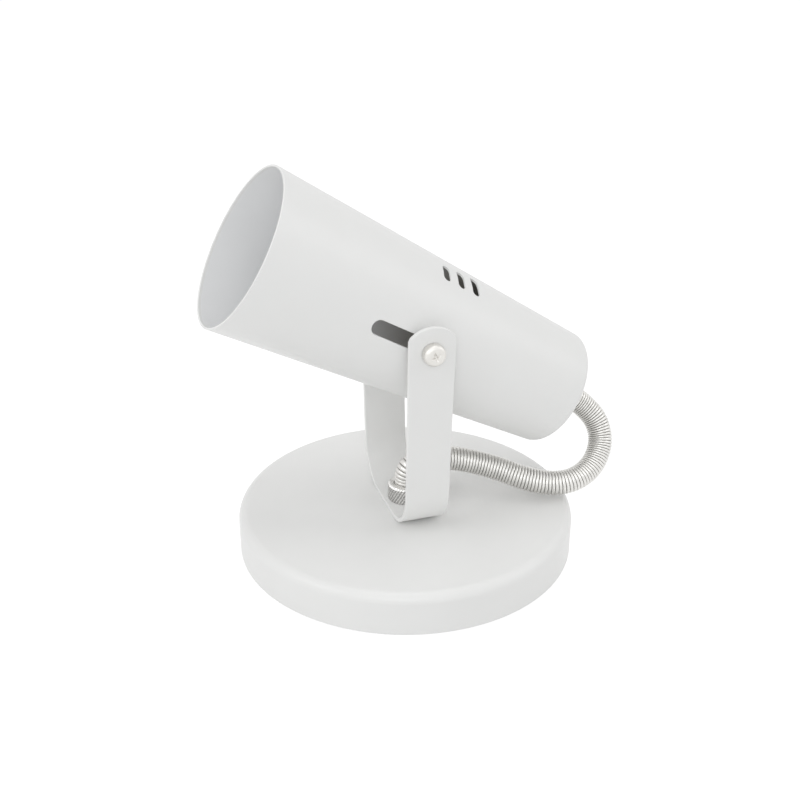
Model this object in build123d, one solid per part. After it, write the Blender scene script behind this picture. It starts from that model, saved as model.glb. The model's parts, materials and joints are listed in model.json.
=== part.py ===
from build123d import *
import math
import os

# A surface spotlight: a round canopy, a swivelling U-bracket, a tapered shade that tilts and slides
# between the bracket's ears, and a spring-wound conduit that takes the leads from canopy to shade.
# Millimetres and degrees. +Z is up, and the origin is the centre of the mounting face.
# The shade's mouth points towards -X and up, and its tilt screws lie along Y, the near one at -Y.

# Canopy
canopy_radius = 60.0
canopy_height = 15.0
canopy_wall = 1.0
canopy_edge_radius = 3.5

# Threaded lamp nipples and their nuts, the same at the canopy and at the back of the shade
nipple_radius = 5.0
nipple_bore_radius = 3.5
nipple_chamfer = 0.4
thread_clearance = 0.05
swivel_clearance = 0.08
locknut_across_flats = 14.0
locknut_thickness = 2.5
nut_chamfer = 0.5
lock_washer_radius = 7.6
lock_washer_thickness = 0.6
washer_clearance = 0.1
knurled_nut_radius = 6.3
knurled_nut_height = 6.2
knurled_nut_chamfer = 0.7
knurled_nut_foot_chamfer = 0.2
nipple_in_knurled_nut = 3.0
nipple_end_gap = 0.1
conduit_clearance = 0.15

# Mounting bar under the canopy: two flat feet with slots, and a raised middle for the nipple
bar_width = 14.0
bar_thickness = 1.6
bar_to_canopy_nut = 1.4
bar_middle_half = 17.0
bar_foot_start = 25.0
bar_past_slot = 3.0
bar_slot_spacing = 68.0
bar_slot_length = 12.0
bar_slot_width = 4.6
nipple_past_nut = 0.8

# Supply leads and their connector block inside the canopy
lead_radius = 1.1
lead_spacing = 2.6
lead_bend_radius = 2.5
lead_below_nipple = 0.3
lead_clearance = 0.05
lead_spread_start = 9.5
lead_spread_end = 17.0
lead_in_block = 4.0
block_start = 22.0
block_length = 14.0
block_width = 18.0
block_height = 9.0
block_base_height = 5.4
block_bottom = 2.4
block_pole_spacing = 9.0
block_tower_gap = 1.5
block_tower_inset = 1.5
block_screw_offset = 2.0
block_screw_radius = 1.9
block_screw_depth = 4.5
block_screw_sunk = 0.6
block_screw_clearance = 0.1
block_screw_slot = 0.8

# U-bracket
strap_width = 15.5
strap_thickness = 1.5
strap_bend_radius = 16.0
ear_width = 16.0
ear_past_pivot = 8.85
ear_end_radius = 10.2
ear_corner_radius = 3.0
ear_widening_start = 60.0
leg_lean = 3.0
ear_outer_y = 27.8
pivot_height = 85.0
pivot_clearance = 0.07

# Tilt screws, washers and nuts
screw_head_radius = 3.7
screw_head_height = 3.3
screw_head_rim = 1.7
screw_shank_radius = 2.38
screw_seat_gap = 0.1
recess_length = 4.0
recess_width = 0.9
recess_depth = 1.6
tilt_washer_radius = 5.0
tilt_washer_thickness = 1.0
tilt_nut_across_flats = 8.0
tilt_nut_thickness = 3.2
screw_past_nut = 0.6
washer_wall_gap = 0.1

# Shade: a tapered tube with a closed back
rest_tilt = 30.4
mouth_radius = 28.0
back_radius = 20.8
shade_length = 128.2
mouth_from_pivot = 63.8
shade_wall = 0.8
shade_back_round = 2.0
slot_front = 22.2
slot_width = 5.3
slot_end_clearance = 0.2
vent_width = 2.9
vent_lengths = (7.2, 8.0, 8.9)
vent_angles = (23.2, 22.0, 20.5)
vent_first = 0.3
vent_pitch = 6.2

# Lamp holder for an E27 cap
holder_radius = 18.0
holder_length = 42.0
holder_recess_radius = 10.5
holder_recess_depth = 5.6
holder_floor = 4.0
shell_radius = 13.7
shell_wall = 0.4
shell_length = 27.0
shell_floor_thickness = 0.7
shell_bottom_hole = 7.5
shell_clearance = 0.15
holder_mouth_radius = 14.8
holder_mouth_depth = 4.0
holder_edge_round = 1.5
channel_width = 5.0
yoke_thickness = 1.0
yoke_length = 33.0
yoke_width = 12.0
holder_screw_offset = 13.2
holder_screw_radius = 1.5
holder_screw_head_radius = 2.9
holder_screw_head_height = 1.6
holder_screw_head_rim = 0.5
holder_screw_depth = 9.0
screw_end_gap = 0.4
terminal_offset = 13.0
terminal_screw_radius = 1.75
terminal_head_radius = 3.0
terminal_head_height = 2.2
terminal_head_rim = 0.8
terminal_head_clearance = 0.3
contact_well_radius = 11.0
contact_well_depth = 4.4
contact_width = 6.0
contact_thickness = 0.5
contact_fold = 3.6
contact_crest = 1.6

# Spring conduit: one helix round the route, with its leads in a sleeve inside
conduit_radius = 4.0
conduit_wire_radius = 0.36
conduit_turn_spacing = 1.2
conduit_seat_gap = 0.6
sleeve_radius = 2.5
sleeve_in_nipple = 7.5
lead_to_sleeve_gap = 0.3
# The bends between the straight that rises from the bracket's nut and the one that enters the shade's
conduit_bends = [
    (0.0, 0.0, 26.2),
    (4.2, 0.0, 30.7),
    (16.0, -1.0, 31.3),
    (31.0, -4.8, 27.8),
    (44.0, -12.3, 21.3),
    (56.5, -16.2, 19.6),
    (66.8, -14.0, 22.6),
    (72.6, -9.3, 30.4),
    (72.2, -5.0, 38.6),
    (67.4, -1.2, 44.6),
]
conduit_last_bend_from_back = 8.0
samples_per_arc = 20

# Places worked out from the sizes above
canopy_under = canopy_height - canopy_wall
canopy_nut_top = canopy_under - lock_washer_thickness
canopy_nut_bottom = canopy_nut_top - locknut_thickness
bar_top = canopy_nut_bottom - bar_to_canopy_nut
bar_under = bar_top - bar_thickness
bar_nut_top = bar_under - lock_washer_thickness
bar_nut_bottom = bar_nut_top - locknut_thickness
bar_half_length = (bar_slot_spacing + bar_slot_length) / 2 + bar_past_slot
nipple_bottom = bar_nut_bottom - nipple_past_nut
bracket_floor = canopy_height + strap_thickness
nipple_top = bracket_floor + nipple_in_knurled_nut
back_from_pivot = shade_length - mouth_from_pivot
taper = (mouth_radius - back_radius) / shade_length
radius_at_pivot = mouth_radius - taper * mouth_from_pivot
conduit_coil_radius = conduit_radius - conduit_wire_radius
tilt = math.radians(rest_tilt)
shade_axis = Vector(-math.cos(tilt), 0, math.sin(tilt))
shade_top = Vector(math.sin(tilt), 0, math.cos(tilt))
pivot = Vector(0, 0, pivot_height)
# In shade coordinates z runs along the axis towards the mouth from the pivot, and x towards the top
shade_place = Plane(origin=pivot, x_dir=shade_top, z_dir=shade_axis).location


def shade_radius(z):
    """Outer radius of the shade, z along its axis from the pivot."""
    return radius_at_pivot + taper * z


def turned(outline, rounds=()):
    """A solid turned about Z from an outline of (radius, height) points; rounds are (corner, radius)."""
    face = make_face(Polyline(*outline, close=True))
    for corner, radius in rounds:
        near = face.vertices().sort_by_distance(Vector(*corner))[0]
        face = fillet(near, radius)
    return revolve(Plane.XZ * face, Axis.Z)


def rod(radius, low, high):
    """A cylinder on Z between two heights."""
    return Pos(0, 0, low) * Cylinder(radius, high - low, align=(Align.CENTER, Align.CENTER, Align.MIN))


def ring(outer, inner, low, high):
    return rod(outer, low, high) - rod(inner, low - 1, high + 1)


def hex_nut(across_flats, bore_radius, low, high):
    """A hexagon nut on Z, its corners chamfered on both faces."""
    height = high - low
    c = nut_chamfer
    corner = across_flats / math.sqrt(3)
    prism = extrude(RegularPolygon(across_flats / 2, 6, major_radius=False), height)
    disc = turned([
        (0, 0), (corner - c, 0), (corner, c), (corner, height - c), (corner - c, height), (0, height),
    ])
    return Pos(0, 0, low) * (prism & disc) - rod(bore_radius, low - 1, high + 1)


def locknut(low, high):
    return hex_nut(locknut_across_flats, nipple_radius + thread_clearance, low, high)


def lock_washer(low, high):
    return ring(lock_washer_radius, nipple_radius + washer_clearance, low, high)


def pan_screw(head_radius, head_height, rim, shank_radius, length):
    """A cross-recessed pan-head screw on Z: the head's seat is at 0, and the shank goes down."""
    dome = turned(
        [(0, 0), (head_radius, 0), (head_radius, head_height), (0, head_height)],
        [((head_radius, head_height), head_height - rim)],
    )
    share = head_radius / screw_head_radius
    blade = Box(recess_length * share, recess_width * share, 2 * recess_depth * share)
    cross = Pos(0, 0, head_height) * (blade + Rot(0, 0, 90) * blade)
    return dome - cross + rod(shank_radius, -length, 0)


def thread_stub(low, high):
    """A hollow threaded nipple on Z, drawn at its outer diameter, with chamfered ends."""
    c = nipple_chamfer
    return turned([
        (nipple_bore_radius, low), (nipple_radius - c, low), (nipple_radius, low + c),
        (nipple_radius, high - c), (nipple_radius - c, high), (nipple_bore_radius, high),
    ])


def knurled_nut(seat, running_clearance):
    """A round conduit nut on Z: it screws on the nipple below and holds the conduit's end above."""
    top = seat + knurled_nut_height
    step = seat + nipple_in_knurled_nut + nipple_end_gap
    c = knurled_nut_chamfer
    foot = knurled_nut_foot_chamfer
    r = knurled_nut_radius
    thread = nipple_radius + running_clearance
    socket = conduit_radius + conduit_clearance
    return turned([
        (thread, seat), (r - foot, seat), (r, seat + foot), (r, top - c), (r - c, top),
        (socket, top), (socket, step), (thread, step),
    ])


def tube_along(points, radii, radius):
    """A round lead or sleeve along straight runs joined by tangent arcs."""
    path = FilletPolyline(*points, radius=radii)
    start = Plane(origin=path @ 0, z_dir=path % 0)
    return sweep(start * Circle(radius), path=path)


# Canopy

def base_canopy():
    outer = turned(
        [(0, 0), (canopy_radius, 0), (canopy_radius, canopy_height), (0, canopy_height)],
        [((canopy_radius, canopy_height), canopy_edge_radius)],
    )
    inside_radius = canopy_radius - canopy_wall
    inside_height = canopy_height - canopy_wall
    inner = turned(
        [(0, 0), (inside_radius, 0), (inside_radius, inside_height), (0, inside_height)],
        [((inside_radius, inside_height), canopy_edge_radius - canopy_wall)],
    )
    return outer - inner - rod(nipple_radius + thread_clearance, 0, canopy_height + 1)


def mounting_bar():
    """A strip in the XZ plane: foot, riser, raised middle, riser, foot."""
    t = bar_thickness
    half = [
        (0, bar_top), (bar_middle_half, bar_top), (bar_foot_start, t), (bar_half_length, t),
        (bar_half_length, 0), (bar_foot_start - t / 2, 0), (bar_middle_half - t / 2, bar_under), (0, bar_under),
    ]
    right = Plane.XZ * make_face(Polyline(*half, close=True))
    strip = extrude(right, bar_width / 2, both=True)
    bar = strip + mirror(strip, Plane.YZ)
    slot = SlotOverall(bar_slot_length, bar_slot_width)
    for side in (-1, 1):
        bar -= Pos(side * bar_slot_spacing / 2, 0, -1) * extrude(slot, t + 2)
    return bar - rod(nipple_radius + thread_clearance, 0, bar_top + 1)



def supply_leads():
    """Two leads from the sleeve's end, out under the nipple and into the connector block."""
    low = nipple_bottom - lead_below_nipple - lead_radius
    high = nipple_top - sleeve_in_nipple - lead_to_sleeve_gap
    block_z = block_bottom + block_height / 2
    out = Part()
    for side in (-1, 1):
        near_x = side * lead_spacing / 2
        pole_x = side * block_pole_spacing / 2
        points = [
            (near_x, 0, high), (near_x, 0, low), (near_x, lead_spread_start, low),
            (pole_x, lead_spread_end, block_z), (pole_x, block_start + lead_in_block, block_z),
        ]
        radii = [lead_bend_radius, 1.6 * lead_bend_radius, 1.6 * lead_bend_radius]
        out += tube_along(points, radii, lead_radius)
    return out


block_middle = block_start + block_length / 2
block_top = block_bottom + block_height


def standing_box(x_size, y_size, z_size, centre, bottom):
    x, y = centre
    return Pos(x, y, bottom) * Box(x_size, y_size, z_size, align=(Align.CENTER, Align.CENTER, Align.MIN))


def connector_block():
    """A two-pole block: a tower for each pole, with a lead hole along Y and a screw well on top."""
    block = standing_box(block_width, block_length, block_base_height, (0, block_middle), block_bottom)
    tower_width = block_pole_spacing - block_tower_gap
    tower_length = block_length - 2 * block_tower_inset
    poles = [side * block_pole_spacing / 2 for side in (-1, 1)]
    for x in poles:
        block += standing_box(tower_width, tower_length, block_height, (x, block_middle), block_bottom)
    for x in poles:
        bore = Cylinder(lead_radius + lead_clearance, 2 * block_length, rotation=(90, 0, 0))
        block -= Pos(x, block_middle, block_bottom + block_height / 2) * bore
        well = rod(block_screw_radius + block_screw_clearance, block_top - block_screw_depth, block_top + 1)
        block -= Pos(x, block_middle + block_screw_offset, 0) * well
    return block


def connector_screws():
    """The two slotted clamp screws in the block's wells."""
    top = block_top - block_screw_sunk
    bottom = block_bottom + block_height / 2 + lead_radius + block_screw_clearance
    slot = Pos(0, 0, top) * Box(3 * block_screw_radius, block_screw_slot, 2 * block_screw_slot)
    screw = rod(block_screw_radius, bottom, top) - slot
    out = Part()
    for side in (-1, 1):
        out += Pos(side * block_pole_spacing / 2, block_middle + block_screw_offset, 0) * screw
    return out


# Bracket

def u_bracket():
    """A flat strap bent into a U, its legs leaning outwards, with slightly wider, rounded ears at the pivot."""
    lean = math.tan(math.radians(leg_lean))
    across = strap_thickness / math.cos(math.radians(leg_lean))
    high = pivot_height + strap_width

    def outline(inset_side, inset_floor):
        floor = canopy_height + inset_floor
        foot = ear_outer_y - inset_side - (pivot_height - floor) * lean
        top = ear_outer_y - inset_side + (high - pivot_height) * lean
        return [(-top, high), (-foot, floor), (foot, floor), (top, high)]

    def filled(inset_side, inset_floor):
        points = outline(inset_side, inset_floor)
        face = make_face(Polyline(*points, close=True))
        for corner in points[1:3]:
            near = face.vertices().sort_by_distance(Vector(*corner))[0]
            face = fillet(near, strap_bend_radius - inset_floor)
        return extrude(Plane.YZ * face, strap_width, both=True)

    foot, side = strap_width / 2, ear_width / 2
    blank = make_face(Polyline(
        (-foot, 0), (foot, 0), (foot, ear_widening_start), (side, pivot_height), (side, high),
        (-side, high), (-side, pivot_height), (-foot, ear_widening_start), close=True,
    ))
    end_middle = pivot_height + ear_past_pivot - ear_end_radius
    end = Pos(0, end_middle) * Circle(ear_end_radius)
    blank &= end + Pos(0, end_middle / 2) * Rectangle(2 * ear_end_radius, end_middle)
    for corner in blank.vertices().sort_by(Axis.Y)[-2:]:
        near = blank.vertices().sort_by_distance(Vector(corner.X, corner.Y))[0]
        blank = fillet(near, ear_corner_radius)
    front = extrude(Plane.XZ * blank, ear_outer_y * 2, both=True)
    strap = (filled(0, 0) - filled(across, strap_thickness)) & front
    strap -= rod(nipple_radius + swivel_clearance, canopy_height - 1, bracket_floor + 1)
    pin = Cylinder(screw_shank_radius + pivot_clearance, ear_outer_y * 3, rotation=(90, 0, 0))
    return strap - Pos(0, 0, pivot_height) * pin


# Tilt screws

screw_seat = ear_outer_y + math.tan(math.radians(leg_lean)) * screw_head_radius + screw_seat_gap
washer_drop = shade_radius(0) - shade_wall - taper * tilt_washer_radius
washer_seat = math.sqrt(washer_drop ** 2 - tilt_washer_radius ** 2) - washer_wall_gap
nut_seat = washer_seat - tilt_washer_thickness
screw_length = screw_seat - nut_seat + tilt_nut_thickness + screw_past_nut


def beside(side):
    """Local Z points out of that side's ear, from the tilt axis's middle."""
    return Plane(origin=pivot, x_dir=(1, 0, 0), z_dir=(0, side, 0)).location


def tilt_screw(side):
    head = (screw_head_radius, screw_head_height, screw_head_rim)
    return beside(side) * Pos(0, 0, screw_seat) * pan_screw(*head, screw_shank_radius, screw_length)


def tilt_washer(side):
    bore = screw_shank_radius + washer_clearance
    return beside(side) * ring(tilt_washer_radius, bore, nut_seat, washer_seat)


def tilt_nut(side):
    bore = screw_shank_radius + thread_clearance
    return beside(side) * hex_nut(tilt_nut_across_flats, bore, nut_seat - tilt_nut_thickness, nut_seat)


# Shade

back = -back_from_pivot
back_inside = back + shade_wall


def shade_tube():
    front = mouth_from_pivot
    outer = turned(
        [(0, back), (back_radius, back), (mouth_radius, front), (0, front)],
        [((back_radius, back), shade_back_round)],
    )
    past = front + 5.0
    back_corner = (shade_radius(back_inside) - shade_wall, back_inside)
    inner = turned(
        [(0, back_inside), back_corner, (shade_radius(past) - shade_wall, past), (0, past)],
        [(back_corner, shade_back_round - shade_wall)],
    )
    tube = outer - inner - rod(nipple_radius + thread_clearance, back - 1, back_inside + 1)
    # Side slots for the tilt screws, which rest at the rear end
    rear = -(screw_shank_radius + slot_end_clearance)
    slot = SlotOverall(slot_front - rear, slot_width, rotation=90)
    cutter = Plane.XZ * (Pos(0, (slot_front + rear) / 2) * slot)
    tube -= extrude(cutter, 2 * mouth_radius, both=True)
    # Vents: two rows across the top, each slot running round the tube
    for side in (-1, 1):
        for k, (length, angle) in enumerate(zip(vent_lengths, vent_angles)):
            vent = extrude(SlotOverall(length, vent_width, rotation=90), mouth_radius)
            along = Pos(0, 0, vent_first - k * vent_pitch)
            tube -= along * Rot(0, 0, side * angle) * Rot(0, 90, 0) * vent
    return shade_place * tube


yoke_back = back_inside + locknut_thickness
yoke_front = yoke_back + yoke_thickness
holder_nut_front = yoke_front + locknut_thickness
shade_nipple_front = holder_nut_front + nipple_past_nut
holder_back = yoke_front
holder_front = holder_back + holder_length
recess_top = holder_back + holder_recess_depth
cavity_floor = recess_top + holder_floor
shell_back = cavity_floor + contact_well_depth
shell_front = shell_back + shell_length


def turned_back(shape):
    """Turns a shape on Z end for end, so that it points out of the shade's back."""
    return Pos(0, 0, back) * Rot(180, 0, 0) * shape


def holder_yoke():
    plate = Pos(0, 0, yoke_back) * extrude(SlotOverall(yoke_length, yoke_width), yoke_thickness)
    plate -= rod(nipple_radius + thread_clearance, yoke_back - 1, yoke_front + 1)
    for side in (-1, 1):
        hole = rod(holder_screw_radius + washer_clearance, yoke_back - 1, yoke_front + 1)
        plate -= Pos(side * holder_screw_offset, 0, 0) * hole
    return shade_place * plate


def holder_body():
    """The porcelain holder: a recessed back for the nut and terminals, and the lamp's cavity in front."""
    rear, front = (holder_radius, holder_back), (holder_radius, holder_front)
    rounds = [(rear, holder_edge_round), (front, holder_edge_round)]
    body = turned([(0, holder_back), rear, front, (0, holder_front)], rounds)
    body -= rod(holder_recess_radius, holder_back - 1, recess_top)
    body -= rod(contact_well_radius, cavity_floor, shell_back)
    body -= rod(shell_radius + shell_clearance, shell_back, holder_front + 1)
    body -= rod(holder_mouth_radius, holder_front - holder_mouth_depth, holder_front + 1)
    channel = Box(channel_width, 2 * terminal_offset, holder_recess_depth)
    body -= Pos(0, 0, (holder_back + recess_top) / 2) * channel
    for side in (-1, 1):
        pocket = rod(terminal_head_radius + terminal_head_clearance, holder_back - 1, recess_top)
        thread = rod(terminal_screw_radius + thread_clearance, recess_top - 1, cavity_floor + 1)
        body -= Pos(0, side * terminal_offset, 0) * (pocket + thread)
        tapped_end = holder_back + holder_screw_depth
        tapped = rod(holder_screw_radius + thread_clearance, holder_back - 1, tapped_end)
        body -= Pos(side * holder_screw_offset, 0, 0) * tapped
    return shade_place * body


def yoke_screws():
    length = yoke_thickness + holder_screw_depth - screw_end_gap
    head = (holder_screw_head_radius, holder_screw_head_height, holder_screw_head_rim)
    screw = Rot(180, 0, 0) * pan_screw(*head, holder_screw_radius, length)
    out = Part()
    for side in (-1, 1):
        out += Pos(side * holder_screw_offset, 0, yoke_back) * screw
    return shade_place * out


def terminal_screws():
    length = holder_floor - screw_end_gap
    head = (terminal_head_radius, terminal_head_height, terminal_head_rim)
    screw = Rot(180, 0, 0) * pan_screw(*head, terminal_screw_radius, length)
    out = Part()
    for side in (-1, 1):
        out += Pos(0, side * terminal_offset, recess_top) * screw
    return shade_place * out


def screw_shell():
    """The lamp's shell: a tube whose holed bottom lies on the ledge round the contact's well."""
    inner = shell_radius - shell_wall
    floor = shell_back + shell_floor_thickness
    return shade_place * turned([
        (shell_bottom_hole, shell_back), (shell_radius, shell_back), (shell_radius, shell_front),
        (inner, shell_front), (inner, floor), (shell_bottom_hole, floor),
    ])


def centre_contact():
    """A folded spring tongue on the well's floor, its crest level with the shell's bottom."""
    t = contact_thickness
    low = cavity_floor
    high = shell_back
    fold, crest = contact_fold, contact_crest
    side_view = [
        (-fold, low), (fold, low), (crest, high), (-crest, high), (-fold, high - t),
        (-crest, high - t), (crest - t, high - t), (fold - t, low + t), (-fold, low + t),
    ]
    tongue = extrude(Plane.XZ * make_face(Polyline(*side_view, close=True)), contact_width / 2, both=True)
    return shade_place * tongue


def head_leads():
    """Two leads from the sleeve's end, through the nipple and out to the terminal screws."""
    start = back - nipple_in_knurled_nut + sleeve_in_nipple + lead_to_sleeve_gap
    clamped = recess_top - terminal_head_height / 2
    out = Part()
    for side in (-1, 1):
        y = side * lead_spacing / 2
        y_end = side * (terminal_offset - terminal_head_radius)
        points = [(0, y, start), (0, y, clamped), (0, y_end, clamped)]
        out += tube_along(points, [lead_bend_radius], lead_radius)
    return shade_place * out


# Conduit

def conduit_corners(start_height, end_from_back):
    """The route's corners: up from the bracket's nut, the chosen bends, and in along the shade's axis."""
    last = pivot + shade_axis * (back - conduit_last_bend_from_back)
    end = pivot + shade_axis * (back - end_from_back)
    return [Vector(0, 0, start_height)] + [Vector(*p) for p in conduit_bends] + [last, end]


def bend_radii(corners, share=0.45):
    """Each corner's arc takes the same share of the shorter of its two runs."""
    radii = []
    for before, corner, after in zip(corners, corners[1:], corners[2:]):
        run_in, run_out = corner - before, after - corner
        turn = math.radians(run_in.get_angle(run_out))
        radii.append(share * min(run_in.length, run_out.length) / math.tan(turn / 2))
    return radii


def coil_nodes(edges, coil_radius):
    """Points of a helix round the edges, two to a turn, each with the wire's direction there.

    The turns keep their spacing on the inside of each bend, and open on its outside."""
    nodes = []
    turns = 0.0
    normal = Vector(1, 0, 0)
    for edge in edges:
        curved = edge.geom_type == GeomType.CIRCLE
        bend = 1 / edge.radius if curved else 0.0
        rate = (1 - coil_radius * bend) / conduit_turn_spacing
        hinge = Axis((0, 0, 0), (edge % 0).cross(edge % 1)) if curved else Axis.Z
        turned_by = (edge % 0).get_angle(edge % 1) if curved else 0.0
        here = math.ceil(2 * turns)
        turns_after = turns + rate * edge.length
        while here < 2 * turns_after:
            share = (here / 2 - turns) / (turns_after - turns)
            tangent = edge % share
            side = normal.rotate(hinge, turned_by * share) * (-1) ** here
            inward = (edge.arc_center - edge @ share).normalized().dot(side) if curved else 0.0
            way = tangent * (1 - coil_radius * bend * inward)
            way += tangent.cross(side) * (2 * math.pi * coil_radius * rate)
            nodes.append((edge @ share + side * coil_radius, way.normalized()))
            here += 1
        normal = normal.rotate(hinge, turned_by)
        turns = turns_after
    return nodes


def biarc(start, start_way, end, end_way):
    """Two arcs that join two points with the given directions."""
    across = end - start
    both = start_way + end_way
    bend = 2 * (1 - start_way.dot(end_way))
    along = across.dot(both)
    reach = (-along + math.sqrt(along ** 2 + bend * across.dot(across))) / bend
    middle = (start + start_way * reach + end - end_way * reach) / 2
    middle_way = (end - end_way * reach - start - start_way * reach).normalized()
    return [
        Edge.make_tangent_arc(start, start_way, middle),
        Edge.make_tangent_arc(middle, middle_way, end),
    ]


def least_gap(edges, wire_diameter):
    """Least clear gap between turns, on points along the wire, each turn being four arcs."""
    points = [tuple(edge @ (k / samples_per_arc)) for edge in edges for k in range(samples_per_arc)]
    per_turn = 4 * samples_per_arc
    least = math.inf
    for i, point in enumerate(points):
        others = points[i + per_turn // 2:i + 2 * per_turn]
        least = min([least] + [math.dist(point, other) for other in others])
    return least - wire_diameter


conduit_ends = (nipple_top + conduit_seat_gap, nipple_in_knurled_nut + conduit_seat_gap)


def spring_conduit():
    corners = conduit_corners(*conduit_ends)
    radii = bend_radii(corners)
    route = FilletPolyline(*corners, radius=radii)
    nodes = coil_nodes(route.edges(), conduit_coil_radius)
    edges = []
    for (start, start_way), (end, end_way) in zip(nodes, nodes[1:]):
        edges += biarc(start, start_way, end, end_way)
    wire = Wire(edges)
    section = Plane(origin=nodes[0][0], z_dir=nodes[0][1]) * Circle(conduit_wire_radius)
    coil = sweep(section, path=wire)
    drawn = math.pi * conduit_wire_radius ** 2 * wire.length
    print("conduit: route", round(route.length, 1), "wire", round(wire.length, 1))
    print("conduit: turns", (len(nodes) - 1) / 2)
    print("conduit: bend radii", [round(r, 1) for r in radii])
    print("conduit: least gap between turns", round(least_gap(edges, 2 * conduit_wire_radius), 3))
    print("conduit: volume over section times length", round(coil.volume / drawn, 4))
    return coil


def conduit_sleeve():
    corners = conduit_corners(nipple_top - sleeve_in_nipple, nipple_in_knurled_nut - sleeve_in_nipple)
    radii = bend_radii(conduit_corners(*conduit_ends))
    sleeve = tube_along(corners, radii, sleeve_radius)
    length = FilletPolyline(*corners, radius=radii).length
    drawn = math.pi * sleeve_radius ** 2 * length
    print("sleeve: length", round(length, 1))
    print("sleeve: volume over section times length", round(sleeve.volume / drawn, 4))
    return sleeve


def write_all():
    os.makedirs("parts", exist_ok=True)
    nodes = {
        "base_canopy": base_canopy(),
        "mounting_bar": mounting_bar(),
        "base_nipple": thread_stub(nipple_bottom, nipple_top),
        "bar_lock_washer": lock_washer(bar_nut_top, bar_under),
        "bar_locknut": locknut(bar_nut_bottom, bar_nut_top),
        "canopy_lock_washer": lock_washer(canopy_nut_top, canopy_under),
        "canopy_locknut": locknut(canopy_nut_bottom, canopy_nut_top),
        "supply_leads": supply_leads(),
        "connector_block": connector_block(),
        "connector_screws": connector_screws(),
        "u_bracket": u_bracket(),
        "bracket_knurled_nut": knurled_nut(bracket_floor, swivel_clearance),
        "shade_tube": shade_tube(),
        "shade_nipple": shade_place * thread_stub(back - nipple_in_knurled_nut, shade_nipple_front),
        "shade_knurled_nut": shade_place * turned_back(knurled_nut(0, thread_clearance)),
        "shade_locknut": shade_place * locknut(back_inside, yoke_back),
        "holder_yoke": holder_yoke(),
        "holder_locknut": shade_place * locknut(yoke_front, holder_nut_front),
        "holder_body": holder_body(),
        "yoke_screws": yoke_screws(),
        "terminal_screws": terminal_screws(),
        "screw_shell": screw_shell(),
        "centre_contact": centre_contact(),
        "head_leads": head_leads(),
        "conduit_sleeve": conduit_sleeve(),
        "spring_conduit": spring_conduit(),
    }
    for side, name in ((-1, "near"), (1, "far")):
        nodes["tilt_screw_" + name] = tilt_screw(side)
        nodes["tilt_washer_" + name] = tilt_washer(side)
        nodes["tilt_nut_" + name] = tilt_nut(side)
    for name, shape in nodes.items():
        export_step(shape, f"parts/{name}.step")


write_all()
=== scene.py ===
"""A white surface spotlight in Blender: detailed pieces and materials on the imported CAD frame."""
import json
import math

import bmesh
import bpy
import numpy as np
from mathutils import Matrix, Vector
from mathutils.geometry import delaunay_2d_cdt


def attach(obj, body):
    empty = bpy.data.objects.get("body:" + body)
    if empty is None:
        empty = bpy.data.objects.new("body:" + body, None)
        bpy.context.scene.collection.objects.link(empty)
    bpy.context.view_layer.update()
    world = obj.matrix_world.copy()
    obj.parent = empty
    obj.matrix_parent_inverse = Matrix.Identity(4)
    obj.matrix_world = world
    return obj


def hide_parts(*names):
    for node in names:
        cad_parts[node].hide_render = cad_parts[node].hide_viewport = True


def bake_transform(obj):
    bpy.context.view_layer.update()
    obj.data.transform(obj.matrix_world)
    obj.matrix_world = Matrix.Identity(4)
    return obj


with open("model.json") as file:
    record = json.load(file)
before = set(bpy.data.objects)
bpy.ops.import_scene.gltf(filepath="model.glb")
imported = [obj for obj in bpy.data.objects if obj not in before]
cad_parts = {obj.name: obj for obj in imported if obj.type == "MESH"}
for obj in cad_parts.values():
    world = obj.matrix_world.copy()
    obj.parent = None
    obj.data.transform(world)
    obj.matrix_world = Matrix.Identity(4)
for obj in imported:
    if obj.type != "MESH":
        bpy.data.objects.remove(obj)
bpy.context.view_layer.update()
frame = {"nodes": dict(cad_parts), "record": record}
MM = 0.001

# Camera, fitted to the outlines in the photograph: two angles, a place in millimetres and a focal length

CAMERA_AZIMUTH = math.radians(-17.9085)
CAMERA_ELEVATION = math.radians(26.1439)
CAMERA_RIGHT, CAMERA_UP, CAMERA_BACK = -1.8536, 49.785, 444.008
FOCAL_LENGTH = 54.198


def seen_from(azimuth, elevation):
    """The direction towards a viewer: the azimuth from -Y towards +X, the elevation from the floor."""
    flat = math.cos(elevation)
    return Vector((math.sin(azimuth) * flat, -math.cos(azimuth) * flat, math.sin(elevation)))


camera_back = seen_from(CAMERA_AZIMUTH, CAMERA_ELEVATION)
camera_right = Vector((math.cos(CAMERA_AZIMUTH), math.sin(CAMERA_AZIMUTH), 0))
camera_up = camera_back.cross(camera_right)
camera_place = (camera_right * CAMERA_RIGHT + camera_up * CAMERA_UP + camera_back * CAMERA_BACK) * MM

camera_data = bpy.data.cameras.new("camera")
camera_data.sensor_fit = "HORIZONTAL"
camera_data.sensor_width = 36.0
camera_data.lens = FOCAL_LENGTH
camera_data.clip_start = 0.01
camera_data.clip_end = 50.0
camera = bpy.data.objects.new("camera", camera_data)
camera.matrix_world = Matrix.Translation(camera_place) @ Matrix((
    (camera_right.x, camera_up.x, camera_back.x),
    (camera_right.y, camera_up.y, camera_back.y),
    (camera_right.z, camera_up.z, camera_back.z),
)).to_4x4()
bpy.context.scene.collection.objects.link(camera)
bpy.context.scene.camera = camera

# Sizes of the frame, in millimetres

PIVOT = np.array((0.0, 0.0, 85.0))
TILT = math.radians(30.4)
AXIS = np.array((-math.cos(TILT), 0.0, math.sin(TILT)))
TOP = np.array((math.sin(TILT), 0.0, math.cos(TILT)))
ACROSS = np.array((0.0, 1.0, 0.0))

CANOPY_RADIUS = 60.0
CANOPY_HEIGHT = 15.0
CANOPY_WALL = 1.0
NIPPLE_HOLE = 5.05

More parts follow.
